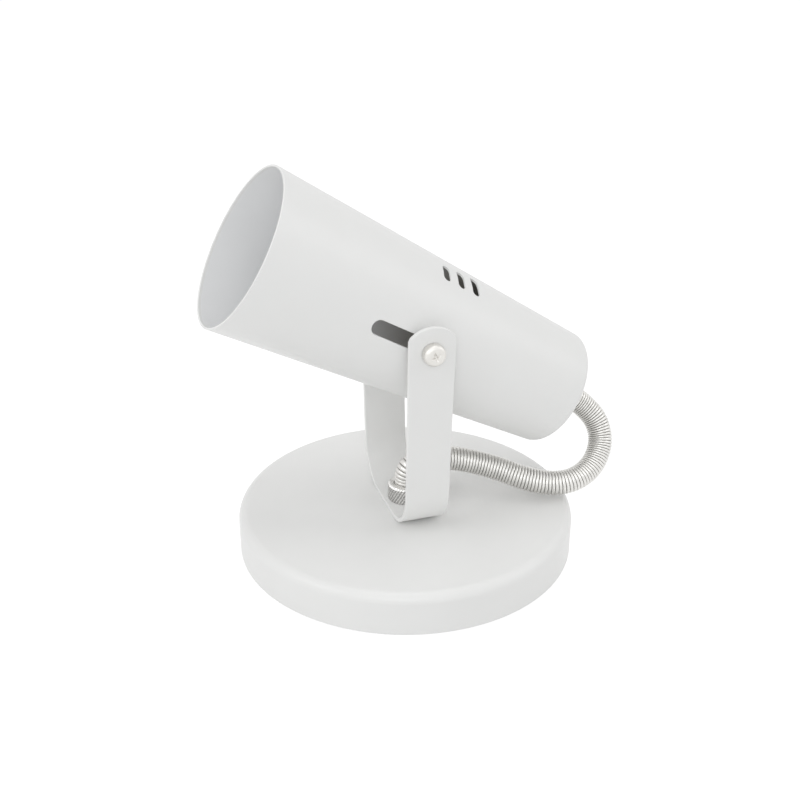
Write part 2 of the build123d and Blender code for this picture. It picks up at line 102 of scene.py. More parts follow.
MOUTH_RADIUS = 28.0
BACK_RADIUS = 20.8
MOUTH = 63.8
BACK = -64.4
TAPER = (MOUTH_RADIUS - BACK_RADIUS) / (MOUTH - BACK)
SHADE_WALL = 0.8

SHELL_BACK = -46.1


def shade_radius(s):
    """The shade's outer radius, s along its axis from the pivot."""
    return MOUTH_RADIUS + TAPER * (s - MOUTH)


def along_shade(points):
    """Points in shade coordinates (towards the top, across, along the axis) to the row frame."""
    points = np.asarray(points, float)
    return PIVOT + points[..., :1] * TOP + points[..., 1:2] * ACROSS + points[..., 2:3] * AXIS


def turn_to_shade(vectors):
    """Directions in shade coordinates to the row frame."""
    return vectors[..., :1] * TOP + vectors[..., 1:2] * ACROSS + vectors[..., 2:3] * AXIS


# Materials

def node_material(name):
    material = bpy.data.materials.new(name)
    material.use_nodes = True
    return material, material.node_tree.nodes, material.node_tree.links, material.node_tree.nodes["Principled BSDF"]


def noise(nodes, links, place, scale, detail=2.0, rough=0.5):
    texture = nodes.new("ShaderNodeTexNoise")
    texture.inputs["Scale"].default_value = scale
    texture.inputs["Detail"].default_value = detail
    texture.inputs["Roughness"].default_value = rough
    links.new(place, texture.inputs["Vector"])
    return texture.outputs["Fac"]


def ranged(nodes, links, source, low, high, from_low=0.3, from_high=0.7):
    spread = nodes.new("ShaderNodeMapRange")
    spread.inputs["From Min"].default_value = from_low
    spread.inputs["From Max"].default_value = from_high
    spread.inputs["To Min"].default_value = low
    spread.inputs["To Max"].default_value = high
    links.new(source, spread.inputs["Value"])
    return spread.outputs["Result"]


def two_colors(nodes, links, source, first, second):
    mix = nodes.new("ShaderNodeMix")
    mix.data_type = "RGBA"
    mix.inputs["A"].default_value = (*first, 1)
    mix.inputs["B"].default_value = (*second, 1)
    links.new(source, mix.inputs["Factor"])
    return mix.outputs["Result"]


def add_relief(nodes, links, shader, height, relief):
    """A bump from a height of 0 to 1, its depth in millimetres."""
    bump = nodes.new("ShaderNodeBump")
    bump.inputs["Strength"].default_value = 1.0
    bump.inputs["Distance"].default_value = relief * MM
    links.new(height, bump.inputs["Height"])
    links.new(bump.outputs["Normal"], shader.inputs["Normal"])


def surface(name, color, roughness, metallic=0.0, tint=0.03, mottle=90.0, spread=0.05, grain=1100.0, relief=0.02,
            **sockets):
    """A finish with mottled colour, uneven gloss and a fine relief; scales are per metre, relief in millimetres.

    Further values are set on the shader's sockets of those names, with a space for each underscore.
    """
    material, nodes, links, shader = node_material(name)
    for socket, value in sockets.items():
        shader.inputs[socket.replace("_", " ")].default_value = value
    place = nodes.new("ShaderNodeTexCoord").outputs["Object"]
    dark = tuple(c * (1 - tint) for c in color)
    patches = ranged(nodes, links, noise(nodes, links, place, mottle, 4.0, 0.6), 0.0, 1.0)
    links.new(two_colors(nodes, links, patches, color, dark), shader.inputs["Base Color"])
    gloss = noise(nodes, links, place, grain * 0.45, 3.0, 0.55)
    links.new(ranged(nodes, links, gloss, roughness - spread, roughness + spread), shader.inputs["Roughness"])
    shader.inputs["Metallic"].default_value = metallic
    add_relief(nodes, links, shader, noise(nodes, links, place, grain, 3.0, 0.5), relief)
    return material


def paint_groove_shade(material, dark):
    """Mixes a dark colour in by a mesh attribute: painted shade, deepest at the bottom of the knurl's grooves."""
    nodes, links = material.node_tree.nodes, material.node_tree.links
    shader = nodes["Principled BSDF"]
    groove_shade = nodes.new("ShaderNodeAttribute")
    groove_shade.attribute_name = "groove_shade"
    mix = nodes.new("ShaderNodeMix")
    mix.data_type = "RGBA"
    links.new(shader.inputs["Base Color"].links[0].from_socket, mix.inputs["A"])
    mix.inputs["B"].default_value = (*dark, 1)
    links.new(groove_shade.outputs["Fac"], mix.inputs["Factor"])
    links.new(mix.outputs["Result"], shader.inputs["Base Color"])


paint = surface("satin_white_paint", (0.88, 0.88, 0.87), 0.42, tint=0.015, mottle=55.0, spread=0.04, grain=900.0,
                relief=0.006, Coat_Weight=0.35, Coat_Roughness=0.27, Specular_IOR_Level=0.15)
nickel_wire = surface("nickel_wire", (0.80, 0.79, 0.765), 0.42, 1.0, tint=0.10, mottle=260.0, spread=0.07,
                      grain=2600.0, relief=0.006)
nickel_nut = surface("nickel_nut", (0.90, 0.89, 0.87), 0.30, 1.0, tint=0.12, mottle=320.0, spread=0.07,
                     grain=2400.0, relief=0.008)
# painted shade in the knurl's grooves of the nickel nuts
paint_groove_shade(nickel_nut, (0.27, 0.265, 0.26))
screw_plate = surface("screw_plate", (0.77, 0.755, 0.725), 0.50, 1.0, tint=0.04, mottle=350.0, spread=0.05,
                      grain=2600.0, relief=0.006)
zinc = surface("zinc_steel", (0.62, 0.63, 0.64), 0.36, 1.0, tint=0.16, mottle=240.0, spread=0.10, grain=1500.0,
               relief=0.012)
brass_thread = surface("brass_thread", (0.68, 0.52, 0.26), 0.34, 1.0, tint=0.14, mottle=260.0, spread=0.08,
                       grain=1800.0, relief=0.010)
brass_contact = surface("brass_contact", (0.74, 0.56, 0.27), 0.26, 1.0, tint=0.10, mottle=260.0, spread=0.06,
                        grain=1800.0, relief=0.006)
porcelain = surface("porcelain", (0.80, 0.79, 0.75), 0.16, tint=0.04, mottle=120.0, spread=0.05, grain=500.0,
                    relief=0.012, Coat_Weight=0.6, Coat_Roughness=0.08)
shell_plate = surface("shell_plate", (0.70, 0.67, 0.60), 0.28, 1.0, tint=0.15, mottle=200.0, spread=0.09,
                      grain=1600.0, relief=0.010)
block_plastic = surface("block_plastic", (0.72, 0.70, 0.64), 0.40, tint=0.05, mottle=140.0, spread=0.06,
                        grain=1400.0, relief=0.012, Subsurface_Weight=0.12, Subsurface_Radius=(0.002, 0.002, 0.002))
lead_sheath = surface("lead_sheath", (0.035, 0.035, 0.038), 0.42, tint=0.2, mottle=200.0, spread=0.07, grain=1700.0,
                      relief=0.015)


# Painted shade inside the shade: its white paint darkens to a warm grey towards the back
SHADED_DEEPEST, SHADED_UNTIL = -18.0, 6.0  # along the shade's axis from the pivot: painted shade inside is full at the first and gone at the second
DEEP_INSIDE_SHADED, INSIDE_WHITE = (0.32, 0.305, 0.28), (0.88, 0.885, 0.89)


def shaded_inside_paint():
    """The same paint inside the shade, with painted shade: it darkens to a warm grey deeper inside, along the axis."""
    material, nodes, links, shader = node_material("paint_with_painted_shade_inside")
    place = nodes.new("ShaderNodeTexCoord").outputs["Object"]
    depth = nodes.new("ShaderNodeVectorMath")
    depth.operation = "DOT_PRODUCT"
    depth.inputs[1].default_value = tuple(AXIS)
    links.new(place, depth.inputs[0])
    pivot_along = float(PIVOT @ AXIS) * MM
    bounds = (pivot_along + SHADED_DEEPEST * MM, pivot_along + SHADED_UNTIL * MM)
    unshaded_share = ranged(nodes, links, depth.outputs["Value"], 0.0, 1.0, *bounds)
    cloud = noise(nodes, links, place, 130.0, 4.0, 0.6)
    mottled_unshaded = nodes.new("ShaderNodeMath")
    mottled_unshaded.operation = "MULTIPLY_ADD"
    mottled_unshaded.inputs[1].default_value = 0.12
    links.new(cloud, mottled_unshaded.inputs[0])
    links.new(unshaded_share, mottled_unshaded.inputs[2])
    mottled_unshaded.use_clamp = True
    # painted shade: warm grey deep inside, the paint's white towards the mouth, a little mottled
    color = two_colors(nodes, links, mottled_unshaded.outputs["Value"], DEEP_INSIDE_SHADED, INSIDE_WHITE)
    links.new(color, shader.inputs["Base Color"])
    links.new(ranged(nodes, links, noise(nodes, links, place, 600.0), 0.44, 0.56), shader.inputs["Roughness"])
    add_relief(nodes, links, shader, noise(nodes, links, place, 1000.0, 3.0), 0.008)
    return material


paint_inside_shaded = shaded_inside_paint()


def woven_sleeve():
    """A braided insulating sleeve: two crossing sets of fine diagonal strands."""
    material, nodes, links, shader = node_material("woven_sleeve")
    place = nodes.new("ShaderNodeTexCoord").outputs["UV"]
    strands = []
    for turn in (45, -45):
        mapping = nodes.new("ShaderNodeMapping")
        mapping.inputs["Rotation"].default_value = (0, 0, math.radians(turn))
        links.new(place, mapping.inputs["Vector"])
        wave = nodes.new("ShaderNodeTexWave")
        wave.inputs["Scale"].default_value = 3.2
        wave.inputs["Distortion"].default_value = 0.3
        links.new(mapping.outputs["Vector"], wave.inputs["Vector"])
        strands.append(wave.outputs["Fac"])
    weave = nodes.new("ShaderNodeMath")
    weave.operation = "MAXIMUM"
    links.new(strands[0], weave.inputs[0])
    links.new(strands[1], weave.inputs[1])
    color = two_colors(nodes, links, weave.outputs["Value"], (0.10, 0.10, 0.10), (0.26, 0.26, 0.25))
    links.new(color, shader.inputs["Base Color"])
    links.new(ranged(nodes, links, weave.outputs["Value"], 0.75, 0.6, 0, 1), shader.inputs["Roughness"])
    add_relief(nodes, links, shader, weave.outputs["Value"], 0.12)
    return material


sleeve = woven_sleeve()


# Mesh building; lengths in millimetres

POINT_DECIMALS, NORMAL_DECIMALS = 4, 1  # how alike joined points are
SEED_GAP = 0.45
PROBE = 1e-3


def unit(vectors):
    """The vectors' directions."""
    return vectors / np.maximum(np.linalg.norm(vectors, axis=-1, keepdims=True), 1e-12)


class Skin:
    """Points in millimetres with their normals, gathered patch by patch into one mesh."""

    def __init__(self):
        self.points = []
        self.normals = []
        self.faces = []
        self.slots = []
        self.count = 0

    def add(self, points, normals, faces, slot=0):
        self.points.append(np.asarray(points, float))
        self.normals.append(np.asarray(normals, float))
        self.faces += [tuple(int(i) + self.count for i in face) for face in faces]
        self.slots += [slot] * len(faces)
        self.count += len(points)

    def rows(self, points, normals, closed_rows=False, slot=0):
        """A strip of quads through rows of points, each row a closed ring."""
        m, n = points.shape[:2]
        faces = []
        for i in range(m if closed_rows else m - 1):
            a, b = i * n, (i + 1) % m * n
            faces += [(a + j, a + (j + 1) % n, b + (j + 1) % n, b + j) for j in range(n)]
        self.add(points.reshape(-1, 3), normals.reshape(-1, 3), faces, slot)

    def mesh(self, name, materials, exact=True):
        """One mesh of all patches, with equal points joined; exact ones join by normal too and keep their normals."""
        points = np.concatenate(self.points)
        normals = unit(np.concatenate(self.normals))
        keys = np.round(points, POINT_DECIMALS)
        if exact:
            keys = np.hstack([keys, np.round(normals, NORMAL_DECIMALS)])
        keys = keys + 0.0  # -0.0 and 0.0 are one place
        _, first, index = np.unique(keys, axis=0, return_index=True, return_inverse=True)
        index = index.reshape(-1)
        points, normals = points[first], normals[first]
        faces, slots = [], []
        for face, slot in zip(self.faces, self.slots):
            face = [int(index[i]) for i in face]
            face = [p for k, p in enumerate(face) if p != face[k - 1]]
            if len(set(face)) < 3:
                continue
            p = points[face]
            out = np.cross(p[1] - p[0], p[2] - p[0]) if len(face) == 3 else np.cross(p[2] - p[0], p[3] - p[1])
            if out @ normals[face].sum(0) < 0:
                face.reverse()
            faces.append(face)
            slots.append(slot)
        data = bpy.data.meshes.new(name)
        data.from_pydata((points * MM).tolist(), [], faces)
        for material in materials:
            data.materials.append(material)
        data.polygons.foreach_set("material_index", slots)
        data.update()
        data.shade_smooth()
        if exact:
            data.normals_split_custom_set_from_vertices(normals.tolist())
        return data


def show(data, body, *nodes, slot):
    """Puts a finished mesh in the scene, riding on a body in place of its CAD nodes."""
    obj = bpy.data.objects.new(data.name, data)
    bpy.context.scene.collection.objects.link(obj)
    if body:
        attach(obj, body)
    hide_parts(*nodes)
    return obj


def profile(corners, closed=False, step=12.0):
    """(radius, height, normal) points of an outline with rounded corners; the material is on its left."""
    points = np.array([c[:2] for c in corners], float)
    radii = [c[2] if len(c) > 2 else 0.0 for c in corners]
    n = len(points)
    out = []
    for i in range(n):
        if not closed and i in (0, n - 1):
            way = unit(points[1] - points[0]) if i == 0 else unit(points[-1] - points[-2])
            out.append((*points[i], way[1], -way[0]))
            continue
        before = unit(points[i] - points[i - 1])
        after = unit(points[(i + 1) % n] - points[i])
        cross = before[0] * after[1] - before[1] * after[0]
        turn = math.atan2(cross, before @ after)
        if radii[i] <= 0:
            out.append((*points[i], before[1], -before[0]))
            out.append((*points[i], after[1], -after[0]))
            continue
        start = points[i] - before * radii[i] * math.tan(abs(turn) / 2)
        side = math.copysign(1, turn)
        centre = start + np.array((-before[1], before[0])) * radii[i] * side
        steps = max(2, math.ceil(math.degrees(abs(turn)) / step))
        for k in range(steps + 1):
            a = turn * k / steps
            way = np.array((
                before[0] * math.cos(a) - before[1] * math.sin(a), before[0] * math.sin(a) + before[1] * math.cos(a),
            ))
            normal = np.array((way[1], -way[0]))
            out.append((*(centre + normal * radii[i] * side), *normal))
    return np.array(out)


def unit_ring(segments):
    """Evenly spaced directions round a circle."""
    a = np.arange(segments) * 2 * math.pi / segments
    return np.stack([np.cos(a), np.sin(a)], axis=1)


def turned(outline, ring):
    """Rows of points, and of their normals, from turning a profile about Z through the ring's directions."""
    heights = np.repeat(outline[:, None, 1::2], len(ring), axis=1)
    points = np.concatenate([outline[:, None, :1] * ring, heights[..., :1]], axis=2)
    normals = np.concatenate([outline[:, None, 2:3] * ring, heights[..., 1:]], axis=2)
    return points, normals


def outward(loop):
    """Directions in the sheet's plane that point out of its material; the material is on the loop's left."""
    way = unit(np.roll(loop, -1, axis=0) - np.roll(loop, 1, axis=0))
    return np.stack([way[:, 1], -way[:, 0]], axis=1)


def face_normal(place, uv, depth):
    """Normals of a bent sheet at a depth, towards its near side."""
    u, v = np.array((PROBE, 0.0)), np.array((0.0, PROBE))
    across = np.cross(place(uv + u, depth) - place(uv - u, depth), place(uv + v, depth) - place(uv - v, depth))
    out = place(uv, depth) - place(uv, depth + PROBE)
    return unit(across) * np.sign((across * out).sum(-1, keepdims=True))


def within(points, loops):
    """True for points inside an odd number of the loops."""
    inside = np.zeros(len(points), bool)
    x, y = points[:, 0], points[:, 1]
    for loop in loops:
        for (x0, y0), (x1, y1) in zip(loop, np.roll(loop, -1, axis=0)):
            if y0 == y1:
                continue
            crosses = (y0 > y) != (y1 > y)
            inside ^= crosses & (x < x0 + (y - y0) * (x1 - x0) / (y1 - y0))
    return inside


def fill(loops, seeds):
    """Triangles between closed loops, through the seed points."""
    points = np.concatenate(loops + [seeds])
    edges = []
    start = 0
    for loop in loops:
        edges += [(start + i, start + (i + 1) % len(loop)) for i in range(len(loop))]
        start += len(loop)
    made, _, faces, origin, _, _ = delaunay_2d_cdt([Vector(p) for p in points], edges, [], 0, 1e-6)
    uv = np.array([points[o[0]] if o else tuple(p) for p, o in zip(made, origin)])
    faces = np.array([f for f in faces if len(f) == 3])
    faces = faces[within(uv[faces].mean(1), loops)]
    return uv, faces


def sheet(skin, place, thickness, loops, seeds, edge, border=None, slots=(0, 0, 0), steps=3):
    """A plate of even thickness: two faces joined by rounded edges round each loop."""
    rims = [loop - outward(loop) * edge for loop in loops]
    bounds = rims + ([border] if border is not None else [])
    near = np.concatenate(bounds)
    gaps = np.min(np.linalg.norm(seeds[:, None] - near[None], axis=2), axis=1)
    seeds = seeds[within(seeds, bounds) & (gaps > SEED_GAP)]
    uv, faces = fill(bounds, seeds)
    skin.add(place(uv, 0.0), face_normal(place, uv, 0.0), faces, slots[0])
    skin.add(place(uv, thickness), -face_normal(place, uv, thickness), faces, slots[1])
    for loop in loops:
        out = outward(loop)
        points, normals = [], []
        turns = [(k / steps, 0) for k in range(steps + 1)] + [(k / steps, 1) for k in range(steps, -1, -1)]
        for share, back in turns:
            a = share * math.pi / 2
            sunk = edge * (1 - math.cos(a))
            depth = thickness - sunk if back else sunk
            line = loop - out * edge * (1 - math.sin(a))
            side = unit(place(line + out * PROBE, depth) - place(line - out * PROBE, depth))
            face = face_normal(place, line, depth) * (-1 if back else 1)
            points.append(place(line, depth))
            normals.append(unit(face * math.cos(a) + side * math.sin(a)))
        skin.rows(np.array(points), np.array(normals), slot=slots[2])


def stadium(length, width, arc_points, step=0.8):
    """A slot's outline about the origin, its length along v, the material outside it."""
    r, half = width / 2, (length - width) / 2
    runs = max(1, round(2 * half / step))
    a = np.linspace(0, math.pi, arc_points + 1)
    top = np.stack([r * np.cos(a), half + r * np.sin(a)], axis=1)
    left = np.stack([np.full(runs - 1, -r), np.linspace(half, -half, runs + 1)[1:-1]], axis=1)
    loop = np.concatenate([top, left, -top, -left])
    return loop[::-1]


def hole(radius, segments):
    """A round hole's outline about the origin, the material outside it."""
    return radius * unit_ring(segments)[::-1]


def grid(u, v):
    """Seed points for a sheet, row by row along v."""
    return np.stack(np.meshgrid(u, v), axis=-1).reshape(-1, 2)


# Canopy

inside_radius, inside_height = CANOPY_RADIUS - CANOPY_WALL, CANOPY_HEIGHT - CANOPY_WALL
canopy_outline = profile([
    (CANOPY_RADIUS, 0, 0.3), (CANOPY_RADIUS, CANOPY_HEIGHT, 3.5), (NIPPLE_HOLE, CANOPY_HEIGHT, 0.15),
    (NIPPLE_HOLE, inside_height, 0.15), (inside_radius, inside_height, 2.5), (inside_radius, 0, 0.3),
], closed=True, step=9.0)
skin = Skin()
skin.rows(*turned(canopy_outline, unit_ring(240)), closed_rows=True)
show(skin.mesh("canopy_shell", [paint]), "base", "base_canopy", slot="white_paint")

# Bracket

STRAP_WIDTH = 15.5
STRAP_THICKNESS = 1.5
STRAP_EDGE = 0.35
BEND_RADIUS = 16.0
LEAN = math.radians(3.0)
WIDENING_START = 60.0
EAR_Y = 27.8
EAR_Z = 85.0
EAR_WIDTH = 16.0
EAR_PAST_PIVOT = 8.85
EAR_END_RADIUS = 10.2
EAR_CORNER = 3.0
FOOT_HOLE = 5.08
EAR_HOLE = 2.45

# The outer line of the strap in the YZ plane: half the floor, a bend, and a leaning leg
foot_y = EAR_Y - (EAR_Z - CANOPY_HEIGHT) * math.tan(LEAN)
bend_turn = math.pi / 2 - LEAN
bend_reach = BEND_RADIUS * math.tan(bend_turn / 2)
floor_half = foot_y - bend_reach
bend_run = BEND_RADIUS * bend_turn
bend_centre = np.array((floor_half, CANOPY_HEIGHT + BEND_RADIUS))
leg_start = bend_centre + BEND_RADIUS * np.array((math.cos(LEAN), -math.sin(LEAN)))
ear_run = floor_half + bend_run + (EAR_Z - leg_start[1]) / math.cos(LEAN)


def strap(uv, depth):
    """A point of the strap: u across it, v along its outer line from the middle, depth into the metal."""
    v = np.abs(uv[..., 1])
    side = np.where(uv[..., 1] < 0, -1.0, 1.0)
    bend = np.clip((v - floor_half) / BEND_RADIUS, 0, bend_turn)
    leg = np.maximum(v - floor_half - bend_run, 0)
    reach = BEND_RADIUS - depth
    y = np.minimum(v, floor_half) + reach * np.sin(bend) + leg * math.sin(LEAN)
    z = CANOPY_HEIGHT + BEND_RADIUS - reach * np.cos(bend) + leg * math.cos(LEAN)
    return np.stack([uv[..., 0], side * y, z], axis=-1)


def strap_outline():
    """The flattened strap: a flat arc with rounded corners at each end, and legs that widen towards the ears."""
    side = EAR_WIDTH / 2
    corner_out = side - EAR_CORNER
    middle = EAR_Z + EAR_PAST_PIVOT - EAR_END_RADIUS
    rise = math.sqrt((EAR_END_RADIUS - EAR_CORNER) ** 2 - corner_out ** 2)
    a = np.linspace(0, math.atan2(rise, corner_out), 9)
    bend = np.stack([corner_out + EAR_CORNER * np.cos(a), middle + rise + EAR_CORNER * np.sin(a)], axis=1)
    a = np.linspace(a[-1], math.pi - a[-1], 31)[1:-1]
    crown = np.stack([EAR_END_RADIUS * np.cos(a), middle + EAR_END_RADIUS * np.sin(a)], axis=1)
    ear = np.concatenate([bend, crown, bend[::-1] * (-1, 1)])
    ear[:, 1] = ear_run + (ear[:, 1] - EAR_Z) / math.cos(LEAN)
    top = ear[-1, 1]
    runs = np.linspace(top, -top, 2 * round(top / 0.8) + 1)[1:-1]
    height = EAR_Z + (np.abs(runs) - ear_run) * math.cos(LEAN)
    widths = np.interp(height, (WIDENING_START, EAR_Z), (STRAP_WIDTH / 2, side))
    left = np.stack([-widths, runs], axis=1)
    return np.concatenate([ear, left, -ear, -left])


ear_offset = np.array((0.0, ear_run))
strap_loops = [
    strap_outline(),
    hole(FOOT_HOLE, 64),
    hole(EAR_HOLE, 40) + ear_offset,
    hole(EAR_HOLE, 40) - ear_offset,
]
strap_seeds = grid(np.linspace(-6.6, 6.6, 9), np.linspace(-110, 110, 251))
skin = Skin()
sheet(skin, strap, STRAP_THICKNESS, strap_loops, strap_seeds, STRAP_EDGE, steps=4)
show(skin.mesh("bracket_strap", [paint]), "bracket", "u_bracket", slot="white_paint")

# Shade

UNROLLED = 24.0
SIDES = 200
SHADE_EDGE = 0.18
SLOT_LENGTH = 24.78
SLOT_WIDTH = 5.3
SLOT_MIDDLE = 9.81
VENTS = ((7.2, 23.2), (8.0, 22.0), (8.9, 20.5))  # length, and degrees from the top
VENT_WIDTH = 2.9
VENT_FIRST = 0.3
VENT_PITCH = 6.2


def shade(uv, depth):
    """A point of the shade: u round it from the top, unrolled at one radius, v along its axis."""
    phi = uv[..., 0] / UNROLLED
    r = shade_radius(uv[..., 1]) - depth
    return along_shade(np.stack([r * np.cos(phi), r * np.sin(phi), uv[..., 1]], axis=-1))


def cut(loop, phi, s, side=1.0):
    """A flat outline (x round the tube, v along it) wrapped on the shade at an angle from the top."""
    v = loop[:, 1] + s
    wrapped = np.stack([UNROLLED * (phi + side * np.arcsin(loop[:, 0] / shade_radius(v))), v], axis=1)
    return wrapped if side > 0 else wrapped[::-1]


slot_loop = stadium(SLOT_LENGTH, SLOT_WIDTH, 20)
shade_loops = [cut(slot_loop, -math.pi / 2, SLOT_MIDDLE), cut(slot_loop, math.pi / 2, SLOT_MIDDLE, -1.0)]
for row in (-1, 1):
    for k, (length, angle) in enumerate(VENTS):
        vent_loop = stadium(length, VENT_WIDTH, 14, 0.6)[:, ::-1][::-1]  # its length round the tube
        shade_loops.append(cut(vent_loop, row * math.radians(angle), VENT_FIRST - VENT_PITCH * k))

body_low, body_high = BACK + 3.0, MOUTH - 1.0
half_round = UNROLLED * math.pi
around = np.linspace(-half_round, half_round, SIDES + 1)
lengthwise = np.linspace(body_low, body_high, 74)
border = np.concatenate([
    np.stack([around, np.full(SIDES + 1, body_low)], axis=1),
    np.stack([np.full(len(lengthwise) - 2, half_round), lengthwise[1:-1]], axis=1),
    np.stack([around[::-1], np.full(SIDES + 1, body_high)], axis=1),
    np.stack([np.full(len(lengthwise) - 2, -half_round), lengthwise[1:-1][::-1]], axis=1),
])
shade_ring = np.stack([np.cos(around[:-1] / UNROLLED), np.sin(around[:-1] / UNROLLED)], axis=1)
rim_edge = 0.28
inside_back = BACK + SHADE_WALL
half_back = BACK + SHADE_WALL / 2
rim = [
    (shade_radius(body_high), body_high), (MOUTH_RADIUS, MOUTH, rim_edge), (MOUTH_RADIUS - SHADE_WALL, MOUTH, rim_edge),
    (shade_radius(body_high) - SHADE_WALL, body_high),
]
inside_of_back = [
    (shade_radius(body_low) - SHADE_WALL, body_low), (shade_radius(inside_back) - SHADE_WALL, inside_back, 1.2),
    (NIPPLE_HOLE, inside_back, 0.15), (NIPPLE_HOLE, half_back),
]
outside_of_back = [
    (NIPPLE_HOLE, half_back), (NIPPLE_HOLE, BACK, 0.15), (BACK_RADIUS, BACK, 2.0), (shade_radius(body_low), body_low),
]

skin = Skin()
sheet(skin, shade, SHADE_WALL, shade_loops, grid(around[1:-1], lengthwise[1:-1]), SHADE_EDGE, border=border,
      slots=(0, 1, 0))
for corners, slot in ((rim, 0), (inside_of_back, 1), (outside_of_back, 0)):
    points, normals = turned(profile(corners, step=10.0), shade_ring)
    skin.rows(along_shade(points), turn_to_shade(normals), slot=slot)
show(skin.mesh("shade_shell", [paint, paint_inside_shaded]), "head", "shade_tube", slot="white_paint")

# Knurled nuts

NUT_RADIUS = 6.3
NUT_HEIGHT = 6.2
NUT_EDGE = 0.7
NUT_FOOT_EDGE = 0.2
NUT_THREAD = 5.06
NUT_MOUTH = 4.15
NUT_STEP = 3.1  # where the thread ends and the conduit's mouth begins
KNURL_DEPTH = 0.34
KNURL_BAND = 0.45  # how far in from the outer radius the knurl still bites
KNURL_LEAD = 1.9
TEETH, PER_TOOTH = 34, 10


def ridge(x):
    """Rises from 0 at each whole number to 1 halfway to the next."""
    return 1 - np.abs(2 * (x - np.floor(x)) - 1)


def knurled_nut(name, place, turn):
    """A nut about Z with its foot at 0, diamond-knurled, its grooves marked for painted shade in the material."""
    outline = profile([
        (NUT_MOUTH, NUT_HEIGHT, 0.12), (NUT_MOUTH, NUT_STEP, 0.1), (NUT_THREAD, NUT_STEP, 0.1), (NUT_THREAD, 0, 0.05),
        (NUT_RADIUS - NUT_FOOT_EDGE, 0, 0.05), (NUT_RADIUS, NUT_FOOT_EDGE, 0.05),
        (NUT_RADIUS, NUT_HEIGHT - NUT_EDGE, 0.15), (NUT_RADIUS - NUT_EDGE, NUT_HEIGHT, 0.15),
    ], closed=True, step=25.0)
    rows = []
    for here, after in zip(outline, np.roll(outline, -1, axis=0)):
        rows.append(here)
        gap = after[1] - here[1]
        if here[0] > NUT_RADIUS - 0.8 and after[0] > NUT_RADIUS - 0.8 and abs(gap) > 0.2:
            steps = max(2, round(abs(gap) / 0.11))
            rows += [here + (after - here) * k / steps for k in range(1, steps)]
    rows = np.array(rows)
    phi = np.arange(TEETH * PER_TOOTH) / PER_TOOTH
    r, z = rows[:, :1], rows[:, 1:2]
    one_way, other_way = ridge(phi[None] - z / KNURL_LEAD), ridge(phi[None] + z / KNURL_LEAD)
    height = np.minimum(one_way, 0.4 + 0.6 * other_way) ** 0.75
    depth = np.where(r > NUT_RADIUS - KNURL_BAND, KNURL_DEPTH, 0.0) * (1 - height)
    angles = phi * 2 * math.pi / TEETH
    points = np.stack([(r - depth) * np.cos(angles), (r - depth) * np.sin(angles), z + 0 * angles], axis=-1)
    ring = np.stack([np.cos(angles), np.sin(angles), 0 * angles], axis=-1)
    normals = rows[:, None, 2:3] * ring + rows[:, None, 3:4] * np.array((0, 0, 1.0))
    skin = Skin()
    skin.rows(place(points), turn(normals), closed_rows=True)
    data = skin.mesh(name, [nickel_nut], exact=False)
    foot, up = place(np.zeros(3)), turn(np.array((0, 0, 1.0)))
    out = np.array([v.co for v in data.vertices], float) / MM - foot
    height = out @ up
    radius = np.linalg.norm(out - height[:, None] * up, axis=1)
    knurled = (height < NUT_HEIGHT - 0.75) & (radius > NUT_RADIUS - 0.5)
    # painted shade: 1 at the bottom of the knurl's grooves, 0 on the crests and off the knurl
    groove_shade = np.where(knurled, np.clip((NUT_RADIUS - radius) / KNURL_DEPTH, 0, 1), 0.0)
    data.attributes.new("groove_shade", "FLOAT", "POINT").data.foreach_set("value", groove_shade)
    return data


def on_bracket(points):
    """A nut's own points, standing on the bracket's foot."""
    return points + np.array((0, 0, CANOPY_HEIGHT + STRAP_THICKNESS))


def behind_shade(points):
    """A nut's own points, with its foot on the back of the shade."""
    return along_shade(points * np.array((1, -1, -1)) + np.array((0, 0, BACK)))


def turn_behind(vectors):
    return turn_to_shade(vectors * np.array((1, -1, -1)))


show(knurled_nut("bracket_knurled", on_bracket, lambda v: v), "bracket", "bracket_knurled_nut", slot="nickel_nut")
show(knurled_nut("shade_knurled", behind_shade, turn_behind), "head", "shade_knurled_nut", slot="nickel_nut")

# Tilt screws

SCREW_HEAD = 3.7
SCREW_HEIGHT = 3.3
SCREW_CROWN = 2.1  # the head's flat part, with the recess in it
SCREW_SHANK = 2.38
SCREW_TIP = 2.1
SCREW_LENGTH = 10.9
SCREW_SEAT = EAR_Y + math.tan(LEAN) * SCREW_HEAD + 0.1
RECESS_REACH = 1.75
RECESS_HALF_WIDTH = 0.42
RECESS_TAPER = 0.22
RECESS_DEPTH = 0.8
RECESS_TURN = 0.35
RECESS_RINGS = np.linspace(2.05, 0.06, 30)


